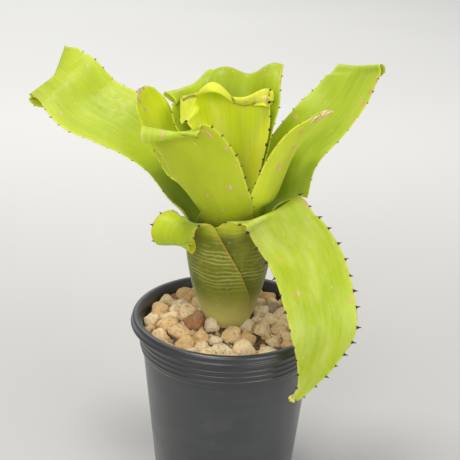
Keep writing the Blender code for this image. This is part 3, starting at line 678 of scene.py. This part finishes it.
def leaf_skin(name, upper, under, scales, scale_top, marks=(), dry_tip=0.0, edge=(0.62, 0.58, 0.12), pale=0.0,
              deep_foot=0.0):
    """Leaf tissue: the colours of its two sides, how strong its white scale bands are and how far up they go,
    and marks of (across, along, radius) in millimetres where the tissue has healed pinkish brown."""
    made, tree, shader, place = finish(name)
    labels = ("across", "along", "under_side", "margin")
    across, along, under_side, margin = (surface(tree, label) for label in labels)
    height = node(tree, "ShaderNodeSeparateXYZ", {0: place}).outputs[2]
    where = node(tree, "ShaderNodeCombineXYZ", {0: across, 1: along, 2: under_side}).outputs[0]
    broad = grain(tree, where, 0.055, 3, 0.5, (1.0, 0.6, 1.0))
    fibres = grain(tree, where, 1.0, 3, 0.6, (1.7, 0.03, 1.0))
    lines = grain(tree, where, 1.0, 2, 0.5, (0.5, 0.02, 1.0))
    deep = tuple(c * s for c, s in zip(upper, (0.84, 0.88, 0.7)))
    light = tuple(c * s + a for c, s, a in zip(upper, (1.10, 1.06, 1.1), (0.01, 0.01, 0.02)))
    tint = tinted(tree, ranged(tree, broad, 0.34, 0.66), deep, upper)
    tint = tinted(tree, ranged(tree, lines, 0.42, 0.66, 0.0, 0.40), tint, light)
    tint = tinted(tree, ranged(tree, fibres, 0.50, 0.70, 0.0, 0.15), tint, light)
    # Painted sheen: pale whitish-green patches, as strong as pale says, stand in for the leaf's sheen in the
    # light.
    painted_sheen = ranged(tree, grain(tree, where, 0.09, 4, 0.6, (1.0, 0.35, 1.0)), 0.34, 0.74, 0.0, pale)
    tint = tinted(tree, painted_sheen, tint, (0.60, 0.66, 0.24))
    # Painted shade: the upper side is painted darker towards the leaf's foot, where the leaves round it shade
    # it.
    tint = tinted(tree, ranged(tree, along, 8.0, 48.0, deep_foot, 0.0), tint, (0.20, 0.25, 0.002))
    # under side: duller, olive on the tube, with rows of white scales across it
    dull = tuple(c * 0.86 for c in under)
    back = tinted(tree, ranged(tree, broad, 0.36, 0.64), dull, under)
    fibrous = tuple(c * 1.15 + 0.02 for c in under)
    back = tinted(tree, ranged(tree, fibres, 0.48, 0.68, 0.0, 0.25), back, fibrous)
    olive = tinted(tree, ranged(tree, broad, 0.34, 0.62), (0.095, 0.112, 0.002), (0.175, 0.190, 0.006))
    olive = tinted(tree, ranged(tree, fibres, 0.46, 0.70, 0.0, 0.25), olive, (0.26, 0.27, 0.03))
    back = tinted(tree, ranged(tree, along, -7.0, 3.0), olive, back)
    sway = grain(tree, where, 1.0, 3, 0.6, (0.075, 0.10, 1.0))
    waved = sums(tree, "MULTIPLY_ADD", sway, 5.5, along)
    ripple = sums(tree, "SINE", sums(tree, "MULTIPLY", waved, 2 * math.pi / BAND_PITCH))
    broken = grain(tree, where, 1.0, 5, 0.8, (1.3, 2.0, 1.0))
    band = ranged(tree, sums(tree, "MULTIPLY_ADD", broken, 3.6, ripple), 1.3, 3.1)
    zones = ranged(tree, grain(tree, where, 1.0, 2, 0.5, (0.035, 0.085, 1.0)), 0.42, 0.62, 0.05, 1.0)
    low = ranged(tree, along, scale_top, scale_top + 22, 1.0, 0.0)
    foot = ranged(tree, height, 0.136, 0.154)
    band = sums(tree, "MULTIPLY", band, sums(tree, "MULTIPLY", zones, sums(tree, "MULTIPLY", low, foot)))
    back = tinted(tree, sums(tree, "MULTIPLY", band, scales), back, (0.56, 0.57, 0.17))
    grey = ranged(tree, grain(tree, where, 1.0, 5, 0.7, (0.35, 0.6, 1.0)), 0.44, 0.68, 0.0, 0.12)
    back = tinted(tree, grey, back, (0.42, 0.44, 0.10))
    straw = ranged(tree, height, 0.119, 0.143, 0.85, 0.0)
    back = tinted(tree, straw, back, (0.66, 0.60, 0.18))
    below = ranged(tree, under_side, 0.3, 0.7)
    tint = tinted(tree, below, tint, back)
    # margin: a narrow straw-coloured line, wider and rusty in places
    worn = grain(tree, where, 1.0, 3, 0.6, (0.6, 0.16, 1.0))
    rim = ranged(tree, sums(tree, "MULTIPLY_ADD", worn, -1.1, margin), -0.25, 0.45, 0.40, 0.0)
    tint = tinted(tree, rim, tint, edge)
    outer = ranged(tree, margin, 0.3, 1.1, 1.0, 0.0)
    rust = sums(tree, "MULTIPLY", outer, ranged(tree, worn, 0.56, 0.66, 0.0, 0.6))
    tint = tinted(tree, rust, tint, (0.40, 0.17, 0.06))
    # small pale corky dots everywhere, and the healed marks
    dots = node(tree, "ShaderNodeTexVoronoi", {"Vector": where, "Scale": 0.16, "Randomness": 1.0}).outputs[0]
    dot = ranged(tree, dots, 0.045, 0.085, 0.65, 0.0)
    tint = tinted(tree, dot, tint, (0.70, 0.52, 0.26))
    frayed = sums(tree, "MULTIPLY_ADD", grain(tree, where, 1.0, 4, 0.7, (0.8, 0.8, 1.0)), 3.2, -1.6)
    sore = None
    for x, y, size in marks:
        spot = node(tree, "ShaderNodeCombineXYZ", {0: x, 1: y, 2: 0.0}).outputs[0]
        flat = node(tree, "ShaderNodeCombineXYZ", {0: across, 1: along, 2: 0.0}).outputs[0]
        gap = node(tree, "ShaderNodeVectorMath", {0: flat, 1: spot}, operation="DISTANCE").outputs["Value"]
        here = ranged(tree, sums(tree, "ADD", gap, frayed), size * 0.55, size * 1.15, 1.0, 0.0)
        sore = here if sore is None else sums(tree, "MAXIMUM", sore, here)
    if sore is not None:
        scab = tinted(tree, ranged(tree, fibres, 0.42, 0.62), (0.50, 0.24, 0.11), (0.74, 0.50, 0.30))
        tint = tinted(tree, sums(tree, "MULTIPLY", sore, 0.8), tint, scab)
    if dry_tip:
        rags = grain(tree, where, 1.0, 3, 0.6, (0.5, 0.25, 1.0))
        ragged = sums(tree, "MULTIPLY_ADD", rags, -dry_tip * 0.9, surface(tree, "to_tip"))
        dry = ranged(tree, ragged, dry_tip * 0.15, dry_tip * 0.55, 1.0, 0.0)
        husk = tinted(tree, ranged(tree, fibres, 0.40, 0.62), (0.36, 0.19, 0.09), (0.82, 0.68, 0.44))
        tint = tinted(tree, dry, tint, husk)
    gloss = ranged(tree, grain(tree, where, 0.25, 4, 0.6), 0.35, 0.65, 0.38, 0.52)
    matt = sums(tree, "MULTIPLY_ADD", below, 0.18, gloss)
    relief = sums(tree, "MULTIPLY_ADD", lines, 0.9, fibres)
    relief = sums(tree, "MULTIPLY_ADD", sums(tree, "MULTIPLY", band, below), 0.5, relief)
    feed(tree, shader, {
        "Base Color": tint, "Roughness": matt, "Normal": raised(tree, relief, 0.35, 0.0003),
        "Specular IOR Level": 0.28, "Sheen Weight": 0.6 * scales, "Sheen Roughness": 0.35,
        "Sheen Tint": (0.95, 1.0, 0.70, 1.0), "Subsurface Weight": 0.85, "Subsurface Scale": 0.0022,
        "Subsurface Radius": (1.0, 1.2, 0.10),
    })
    return made


def undulation(seed):
    """Gentle unevenness of a grown blade: a few slow waves of a quarter of a millimetre."""
    draw = random.Random(seed)
    waves = [(draw.uniform(0.05, 0.16), draw.uniform(0.04, 0.11), draw.uniform(0, 6.3)) for _ in range(5)]

    def lift(v, xs):
        total = sum(np.sin(a * xs + b * v + c) for a, b, c in waves)
        return 0.11 * smooth(v / 25) * total

    return lift


tooth_places = []


def grow(name, leaf, teeth, seed, *colours, **tissue):
    """One leaf as a closed sheet, thinner at its margins, with its thorns noted for the section on thorns.
    teeth: spacing and length on the left margin, then on the right. The rest describes its skin."""
    columns = np.linspace(-1, 1, LEAF_COLUMNS + 1)
    closed = CLOSED_END if leaf.stations[-1][4] < 6 else 0.0
    sheath = leaf.crest - leaf.root
    below = np.linspace(-sheath, 0, max(2, round(sheath / SHEATH_ROW_STEP)) + 1)
    above = np.linspace(0, leaf.length, round(leaf.length / ROW_STEP) + 1)[1:]
    if closed:
        above = np.concatenate([above[above < leaf.length - closed], leaf.length - np.array(END_ROWS)])
    vs = np.concatenate([below, above])
    lift = undulation(seed)
    rows = [leaf.row(v, columns, closed) for v in vs]
    points = np.array([r[0] for r in rows])
    halves = np.array([r[1] for r in rows])
    along_v = np.gradient(points, axis=0)
    along_u = np.gradient(points, axis=1)
    normals = np.cross(along_v, along_u)
    normals /= np.maximum(np.linalg.norm(normals, axis=2), 1e-9)[:, :, None]
    xs = halves[:, None] * columns[None, :]
    points = points + normals * np.array([lift(v, x) for v, x in zip(vs, xs)])[:, :, None]
    blade = np.array([smooth((v - 4) / 20) for v in vs])[:, None]
    body = SHEET + (MIDDLE - SHEET) * blade * (1 - columns[None, :] ** 2)
    body = body * (1 - 0.35 * np.abs(columns[None, :]) ** 8 * blade)
    offset = normals * body[:, :, None] / 2
    outward = np.stack([points[:, 0] - points[:, 1], points[:, -1] - points[:, -2]], axis=1)
    outward /= np.maximum(np.linalg.norm(outward, axis=2), 1e-9)[:, :, None]
    edges = points[:, [0, -1]] + outward * MARGIN_BULGE
    count = len(columns)
    ring = 2 * count + 2
    verts = np.concatenate([points + offset, edges[:, 1:], (points - offset)[:, ::-1], edges[:, :1]], axis=1)
    across = np.concatenate([xs, xs[:, -1:], xs[:, ::-1], xs[:, :1]], axis=1)
    under = np.concatenate([np.zeros(count), [0.5], np.ones(count), [0.5]])
    margin = np.minimum(halves[:, None] - np.abs(across), 30)
    faces = []
    for i in range(len(vs) - 1):
        for j in range(ring):
            n = (j + 1) % ring
            faces.append((i * ring + j, i * ring + n, (i + 1) * ring + n, (i + 1) * ring + j))
    for i in (0, len(vs) - 1):
        b = i * ring
        turn = 1 if i else -1
        caps = [(b + ring - 1, b, b + 2 * count), (b + count, b + count + 1, b + count - 1)]
        caps += [(b + j, b + j + 1, b + 2 * count - 1 - j, b + 2 * count - j) for j in range(count - 1)]
        faces += [cap[::turn] for cap in caps]
    total = len(vs)
    mesh = noted(name, (verts.reshape(-1, 3) * MM).tolist(), faces, {
        "across": across.reshape(-1), "along": np.repeat(vs, ring), "under_side": np.tile(under, total),
        "margin": margin.reshape(-1), "to_tip": np.repeat(leaf.length - vs, ring),
    })
    bm = bmesh.new()
    bm.from_mesh(mesh)
    bpy.data.meshes.remove(mesh)
    obj = shown(name.replace("leaf", "blade"), bm)
    obj.data.materials.append(leaf_skin(name, *colours, **tissue))
    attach(obj, "root")
    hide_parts(name)
    draw = random.Random(seed + 100)
    for side, (spacing, reach) in enumerate((teeth[:2], teeth[2:])):
        run = spacing * draw.uniform(0.2, 0.8)
        for i in range(1, total - 2):
            if vs[i] <= 2 or leaf.length - vs[i] < 1.5:
                continue
            run += np.linalg.norm(edges[i, side] - edges[i - 1, side])
            if run >= spacing:
                run = spacing * draw.uniform(-0.18, 0.18)
                ahead = edges[i + 1, side] - edges[i - 1, side]
                size = reach * draw.uniform(0.75, 1.2) * min(1.0, 0.45 + (leaf.length - vs[i]) / 30)
                foot = edges[i, side] - outward[i, side] * TOOTH_SET
                tooth_places.append((foot, outward[i, side], ahead, size))


upper_green = (0.43, 0.51, 0.010)
under_green = (0.42, 0.48, 0.010)
bright_green = (0.60, 0.66, 0.014)
OUTER_WRAP = ((0, 140, 140), (0.5, 110, 110))
INNER_WRAP = ((0, 130, 130), (0.5, 105, 105))
leaf = Leaf(
    -47, 0, 104, 176, 6, ((0, 140, 140), (0.19, 108, 106), (0.67, 54, 61), (1, 29, 29)),
    (
        (-49, 27.3, 177.8, -42, 26, 12, 0), (-51, 30.8, 178, -35, 26, 8, 0),
        (-52, 34.6, 175.6, -31, 26, 5, -1), (-52, 36.4, 171.3, -30, 25.5, 4, -2),
        (-52, 35, 167.4, -30, 24, 3, -5), (-51, 31.7, 166.3, -30, 21, 2, -7),
        (-50, 29, 168.2, -30, 14, 1, -8), (-50, 28.4, 170.6, -30, 5, 1, -8),
    ),
)
grow(
    "leaf_front_curl", leaf, (7.5, 1.8, 7.0, 1.8), 21,
    upper_green, bright_green, 0.62, -8, edge=(0.50, 0.24, 0.04),
)

# Front leaf, drooping
# A broad leaf folded over the tube's front right, which hangs past the pot's lip to a hooked point.
# It is bright yellow-green above with a few rust spots, and its margins carry the plant's longest thorns.
leaf = Leaf(
    42, 1, 105, 177, 6, ((0, 140, 140), (0.5, 120, 110), (0.92, 78, 60), (1, 62, 46)),
    (
        (40, 26, 183.4, 30, 33, 2, 10, 20), (43, 30.5, 186, 22, 31, 2, 18, 21),
        (49, 36, 178.5, 23, 33, 10, 21, 15),
        (53, 43, 169.5, 21, 35, 10, 17, 9), (52, 50, 161, 20, 37, 12, 11, 4),
        (49, 58, 149, 20, 37, 12, 7), (46, 65, 135, 20, 35, 12, 4), (43, 65, 116, 20, 21, 10, 0),
        (39.5, 61.5, 101.5, 20, 8, 8, 0), (36.5, 59, 96, 20, 5, 8, 0), (33.5, 58, 96.5, 20, 3, 5, 0),
    ),
)
spots = (
    (-12, 38.5, 1.1), (-2, 25.5, 0.8), (-10, 58, 1.3), (16.3, 67, 1.0), (14, 12.5, 1.6), (15.2, 15.5, 1.2),
)
grow(
    "leaf_drooping", leaf, (8.5, 2.3, 7.6, 2.4), 22,
    (0.40, 0.48, 0.008), bright_green, 0.62, -8, marks=spots, pale=0.5,
)

# Left leaf
# The longest leaf, leaning out to the left, with a softly channelled blade and a tip folded back on itself.
# It is fresh yellow-green above, with a silvery under side that shows below its front margin.
leaf = Leaf(
    -118, 2, 107, 167, 16, (*OUTER_WRAP, (0.85, 90, 65), (1, 66, 40)),
    (
        (-127.5, 25, 172.5, -124.5, 40.5, 58, 0), (-122, 32, 181.5, -119, 44, 50, -4),
        (-119, 41, 196.4, -118, 42.7, 38, -11.2), (-118, 52.5, 205.7, -118, 42, 26, -17.3),
        (-118, 69, 214.9, -118, 40.5, 17, -31), (-117.5, 89.6, 221.5, -118, 42, 12, -31.5),
        (-118.5, 105.4, 233, -118, 38.5, 7, -38, -8), (-120, 115.3, 234.2, -118, 35.5, 5, -34, 19.5),
        (-120, 115.6, 229.6, -118, 33, 5, 30.6, 25), (-119, 109.3, 225.3, -118, 26, 4, 37.7, 9),
        (-118, 99.3, 220.6, -118, 3, 3, 38, 7),
    ),
)
spots = ((15.4, 97, 1.1), (12.5, 101, 0.9), (-14.5, 109, 0.7), (19.4, 80.5, 0.6))
# Its upper side is painted darker towards its foot, a painted shade from the leaves round it.
grow(
    "leaf_left", leaf, (7.3, 1.3, 7.3, 1.3), 23,
    upper_green, under_green, 0.2, 0, marks=spots, pale=0.15, deep_foot=0.75,
)

# Right leaf
# A broad leaf that stands up to the right and folds over at its squared end, where its margin has dried.
# Its upper side faces the viewer, with fine lengthwise lines and two healed spots.
leaf = Leaf(
    112, 3, 109, 174, 16, (*OUTER_WRAP, (1, 62, 62)),
    (
        (110.5, 24.5, 179.8, 112.5, 46.7, 61, 0), (112, 28.4, 182.8, 114.5, 47.5, 43, 4),
        (114, 30.9, 187.5, 118.5, 45.4, 23, 8.4),
        (114, 36, 205, 121.7, 40.5, 18, 6.5), (114, 50.7, 221.7, 126, 38.6, 17, 7.7),
        (114.5, 62.3, 234.2, 127, 37.3, 13, 3, -5.4), (114.5, 68.4, 245.8, 127, 36.5, 9, -1, -15),
        (115, 70.8, 250, 127, 33.7, 6, -9.9, -8), (115, 74.8, 248.5, 127, 26, 5, -8, -8),
        (115, 77.8, 242, 127, 3, 5, -7, -6),
    ),
)
spots = (
    (15.6, 53, 1.6), (0.4, 22, 1.2), (-18, 86, 1.6), (-15.7, 76, 1.8), (-17, 81.5, 1.3), (-16.3, 67.5, 1.2),
)
grow(
    "leaf_right", leaf, (7.0, 1.3, 7.0, 1.4), 24,
    (0.38, 0.46, 0.010), under_green, 0.2, 0, marks=spots, pale=0.2,
)

# Front leaf, upright
# A leaf that leans towards the viewer and shows its duller under side, with its end rolled over.
# Its foot keeps faint scale bands.
leaf = Leaf(
    -16, 4, 111, 181, 16, (*OUTER_WRAP, (0.85, 70, 72), (1, 40, 52)),
    (
        (-20, 24.5, 191.5, -18, 36, 40, 0), (-27, 31, 207, -12, 37, 30, 3),
        (-33, 38, 220.5, -10, 34.8, 16, 0), (-39, 44, 227.6, -8, 29, 8, -2, -4),
        (-39, 46.8, 230.2, -7, 27, 5, -3, -5), (-38.4, 48.8, 229.4, -7, 26, 3, -3, -7),
        (-38.4, 48.6, 226.8, -7, 24, 2, -3, -9),
    ),
)
spots = (
    (10.2, 19.5, 1.5), (-2.2, 17.5, 1.1), (15.9, 39.5, 1.2), (13.4, 47.5, 1.6), (16.3, 29, 0.8), (1, 6, 0.7),
    (-3.6, 62, 1.0),
)
grow(
    "leaf_front", leaf, (7.0, 1.1, 6.2, 1.7), 25,
    upper_green, (0.44, 0.49, 0.016), 0.10, 0, marks=spots, pale=0.4,
)

# Front right leaf
# A narrow leaf channelled down its middle, drawn out to a point whose last centimetre has dried and curled.
# It has several healed spots.
leaf = Leaf(
    64, 5, 114, 183, 16, (*OUTER_WRAP, (1, 62, 66)),
    (
        (71.5, 22.4, 188, 69.5, 39.6, 56, 0), (70.5, 25.9, 197.5, 67.5, 38, 48, 0),
        (67, 30.3, 210, 65, 35, 44, 0), (68, 37.5, 225, 66, 29, 40, 0),
        (68, 44.5, 233, 66, 18, 36, 0), (68, 51, 238, 66, 3, 30, 0),
    ),
)
spots = ((-7.2, 50, 1.7), (-4.5, 40.5, 1.8), (-8.8, 30, 2.0))
grow(
    "leaf_front_right", leaf, (7.0, 1.1, 7.0, 1.1), 26,
    upper_green, (0.52, 0.57, 0.03), 0.10, 0, marks=spots, dry_tip=10,
)

# Inner left leaf
# A leaf that rises to the left behind the upright front leaf and ends in a dried brown flap.
# It is bright yellow-green on both sides, softly channelled, with short thorns.
leaf = Leaf(
    -100, 6, 117, 178, 16, (*INNER_WRAP, (1, 64, 64)),
    (
        (-103, 22.8, 189, -98, 35, 49, -6), (-105, 31.5, 198, -96, 34, 26, -12),
        (-103, 38, 212, -97, 32, 22, -14), (-101, 42.5, 225, -98, 31, 18, -14),
        (-99, 46, 233, -98, 25, 12, -14), (-97.5, 48, 238, -98, 14, 10, -14),
        (-97, 49, 240, -98, 4, 10, -14),
    ),
)
spots = ((5.3, 67.5, 2.2), (4.3, 62, 1.6))
grow(
    "leaf_left_inner", leaf, (7.0, 1.1, 6.0, 1.2), 27,
    bright_green, bright_green, 0.1, 0, marks=spots, dry_tip=3,
)

# Back left leaf
# A leaf that rises at the back left and arches over, so that only its crest shows past the leaves in front.
# Its end hangs down behind, and three healed spots mark the crest.
leaf = Leaf(
    -147, 7, 120, 188, 16, (*INNER_WRAP, (1, 64, 64)),
    (
        (-147, 20, 204, -147, 39, 50, 0), (-148, 30, 219, -147, 42.2, 32, -3),
        (-147, 35.8, 233, -149, 34, 20, -9), (-143, 41, 235.8, -147, 30.5, 9, -12),
        (-143, 47, 231.5, -147, 23, 5, -12), (-143, 51, 224, -147, 3, 5, -12),
    ),
)
spots = ((9.1, 57, 1.2), (10.4, 53, 1.3), (10.7, 48, 1.0))
grow(
    "leaf_back_left", leaf, (7.0, 1.2, 7.0, 1.2), 28,
    upper_green, bright_green, 0.3, 10, marks=spots,
)

# Back leaf
# The tall leaf at the back, arched over with a gently waved crest.
# It is a deeper green than the leaves round it, and its end hangs down behind the tube.
leaf = Leaf(
    168, 8, 123, 190, 16, ((0, 130, 130), (0.5, 100, 100), (1, 74, 74)),
    (
        (168, 17.5, 211, 168, 43, 62, 0), (168, 23.5, 228, 168, 43, 36, -3),
        (168, 28.5, 241, 168, 40, 16, -9), (168, 32.5, 245, 168, 38, 8, -9),
        (168, 38, 243.5, 168, 32, 5, -9), (168, 43, 235, 168, 3, 5, 0),
    ),
    wave=(2.2, 1.4, 180, 20, 55),
)
spots = ((-5.6, 60, 1.3), (1.9, 60.5, 1.0), (-11, 56, 0.9))
grow(
    "leaf_back", leaf, (7.0, 1.2, 7.0, 1.2), 29,
    (0.37, 0.44, 0.006), bright_green, 0.3, 10, marks=spots,
)

# Centre leaf
# The youngest leaf, an upright scoop in the middle of the tube whose waved end curls inwards.
# Its tissue is still pale and soft, the brightest yellow-green of the plant.
leaf = Leaf(
    -168, 9, 126, 188, 16, (*INNER_WRAP, (1, 88, 88)),
    (
        (-172, 12, 206, -172, 43, 78, 0), (-170, 14, 222, -172, 48.8, 62, 0, -3),
        (-165.5, 15, 231, -174, 49.8, 52, 0, -8), (-162, 14.4, 236.8, -174, 52, 46, 0, -10),
        (-158, 11, 238.3, -174, 50, 40, 0, -10), (-154, 9, 235.8, -174, 46, 34, 0, -10),
    ),
    wave=(-5.2, 1.6, -92, 20, 50),
)
spots = ((-14.8, 52, 1.6), (-20.6, 53, 1.4), (-9.9, 50, 0.9))
grow(
    "leaf_centre", leaf, (6.6, 2.1, 6.6, 1.9), 30,
    (0.68, 0.74, 0.012), (0.72, 0.76, 0.06), 0.1, 10, marks=spots, pale=0.25,
)

# Marginal thorns
# The leaves' margins carry hard, nearly black thorns that hook towards the tip, longest on the drooping leaf.
# Each grew out of the margin, with a broad foot along it.


THORN_SIDES = 7
THORN_HOOK = 0.22
THORN_SECTIONS = ((0.0, 0.34, 0.0), (0.22, 0.21, 0.01), (0.5, 0.125, 0.06), (0.78, 0.06, 0.15))


def thorn_group():
    """A thorn of unit length on each place, pointing outward, with its foot along the margin."""
    tree, sockets, given = node_group("thorns on margins", "Object")
    shape = node(tree, "GeometryNodeObjectInfo", {"Object": given["Shape"]})
    outward, ahead = (read_attribute(tree, label, "FLOAT_VECTOR") for label in ("outward", "ahead"))
    axes = {"primary_axis": "Z", "secondary_axis": "X"}
    turn = node(tree, "FunctionNodeAxesToRotation", {0: outward, 1: ahead}, **axes)
    sway = drawn_vector(tree, given["Seed"], (-0.2, -0.25, -0.3), (0.2, 0.25, 0.3))
    bend = node(tree, "FunctionNodeEulerToRotation", {0: sway})
    turns = {0: turn.outputs[0], 1: bend.outputs[0]}
    both = node(tree, "FunctionNodeRotateRotation", turns, rotation_space="LOCAL")
    inputs = {
        "Points": given["Points"], "Instance": shape.outputs["Geometry"],
        "Rotation": both.outputs[0], "Scale": read_attribute(tree, "reach"),
    }
    grown = node(tree, "GeometryNodeInstanceOnPoints", inputs)
    end_group(tree, grown.outputs[0], given["Finish"])
    return tree, sockets


def horn():
    made, tree, shader, where = finish("dark horn")
    tone = ranged(tree, grain(tree, where, 500, 3), 0.40, 0.66)
    tint = tinted(tree, tone, (0.014, 0.010, 0.008), (0.055, 0.026, 0.012))
    feed(tree, shader, {"Base Color": tint, "Roughness": 0.35})
    return made


thorn = bmesh.new()
sections = []
for height, wide, hook in THORN_SECTIONS:
    ring = []
    for k in range(THORN_SIDES):
        a = 2 * math.pi * k / THORN_SIDES
        ring.append(thorn.verts.new((hook + wide * 1.25 * math.cos(a), wide * 0.75 * math.sin(a), height)))
    sections.append(ring)
for low, high in zip(sections, sections[1:]):
    for k in range(THORN_SIDES):
        n = (k + 1) % THORN_SIDES
        thorn.faces.new((low[k], low[n], high[n], high[k]))
thorn.faces.new(sections[0])
point = thorn.verts.new((THORN_HOOK, 0, 1.0))
for k in range(THORN_SIDES):
    thorn.faces.new((sections[-1][k], sections[-1][(k + 1) % THORN_SIDES], point))
thorn_shape = shown("thorn_shape", thorn)
feet, outwards, aheads, lengths = zip(*tooth_places)
columns = {"outward": outwards, "ahead": aheads, "reach": [length * MM for length in lengths]}
values = {"Shape": thorn_shape, "Seed": 3, "Finish": horn()}
thorns = grown_on("marginal_thorns", [(foot * MM).tolist() for foot in feet], columns, thorn_group(), values)
bpy.data.objects.remove(thorn_shape)
thorns.data.shade_smooth()
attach(thorns, "root")

# Studio
# A flat pale floor whose colour is painted darker towards the camera, a painted falloff of the light, soft
# light from above and in front, and a camera a little above the plant.
# It is not part of the plant, and only the floor is a surface.


def floor_painted_falloff(name, near, far):
    made, tree, shader, where = finish(name)
    depth = node(tree, "ShaderNodeSeparateXYZ", {0: where}).outputs[1]
    # Painted light: the floor runs from a darker colour near the camera to a paler one far off, a painted
    # falloff of the light.
    tint = tinted(tree, ranged(tree, depth, -0.05, 0.9), near, far)
    tint = tinted(tree, ranged(tree, grain(tree, where, 1.3, 2), 0.35, 0.65, 0.0, 0.05), tint, near)
    feed(tree, shader, {"Base Color": tint, "Roughness": 0.9})
    return made


floor = lathe("floor", ((6.0 / MM, 0.0), (0, 0)), 64)
floor.data.transform(Matrix.Translation((0, 0, -0.0002)))
floor.data.materials.append(floor_painted_falloff("pale floor", (0.54, 0.535, 0.52), (0.91, 0.905, 0.88)))


def soft_light(name, place, target, size, watts, colour):
    lamp = bpy.data.lights.new(name, "AREA")
    lamp.shape = "DISK"
    lamp.size = size
    lamp.energy = watts
    lamp.color = colour
    obj = bpy.data.objects.new(name, lamp)
    in_scene.link(obj)
    aim = (Vector(target) - Vector(place)).to_track_quat("-Z", "Y")
    obj.matrix_world = Matrix.Translation(place) @ aim.to_matrix().to_4x4()


soft_light("overhead", (-0.3, -0.1, 1.5), (0, 0, 0.15), 0.42, 10.8, (1.0, 0.985, 0.95))
soft_light("front_left", (-0.7, -1.3, 0.9), (0, 0, 0.15), 0.9, 5, (1.0, 0.99, 0.97))
soft_light("front", (-0.15, -0.95, 0.75), (0, 0, 0.12), 0.25, 2.1, (1.0, 0.98, 0.95))
soft_light("front_right", (0.9, -1.1, 0.45), (0, 0, 0.15), 0.9, 7, (1.0, 1.0, 0.98))
soft_light("background", (-0.5, 1.9, 1.4), (-0.4, 1.6, 0.0), 1.6, 9, (1.0, 1.0, 1.0))
world = bpy.data.worlds.new("studio")
world.use_nodes = True
feed(world.node_tree, world.node_tree.nodes["Background"], {0: (1.0, 1.0, 0.99, 1), 1: 0.48})
bpy.context.scene.world = world
bpy.context.scene.view_settings.view_transform = "Standard"

yaw, pitch, tilt = -0.00062, 0.37282, 0.031926
ahead = np.array([math.sin(yaw) * math.cos(pitch), math.cos(yaw) * math.cos(pitch), -math.sin(pitch)])
level = np.array([math.cos(yaw), -math.sin(yaw), 0.0])
upright = np.cross(level, ahead)
right = level * math.cos(tilt) + upright * math.sin(tilt)
over = upright * math.cos(tilt) - level * math.sin(tilt)
camera_data = bpy.data.cameras.new("camera")
camera_data.lens = 78.26
camera_data.sensor_width = 36.0
camera_data.clip_start = 0.01
camera = bpy.data.objects.new("camera", camera_data)
in_scene.link(camera)
turned = Matrix([(right[i], over[i], -ahead[i]) for i in range(3)]).to_4x4()
camera.matrix_world = Matrix.Translation((0, -0.48804, 0.3585)) @ turned
bpy.context.scene.camera = camera
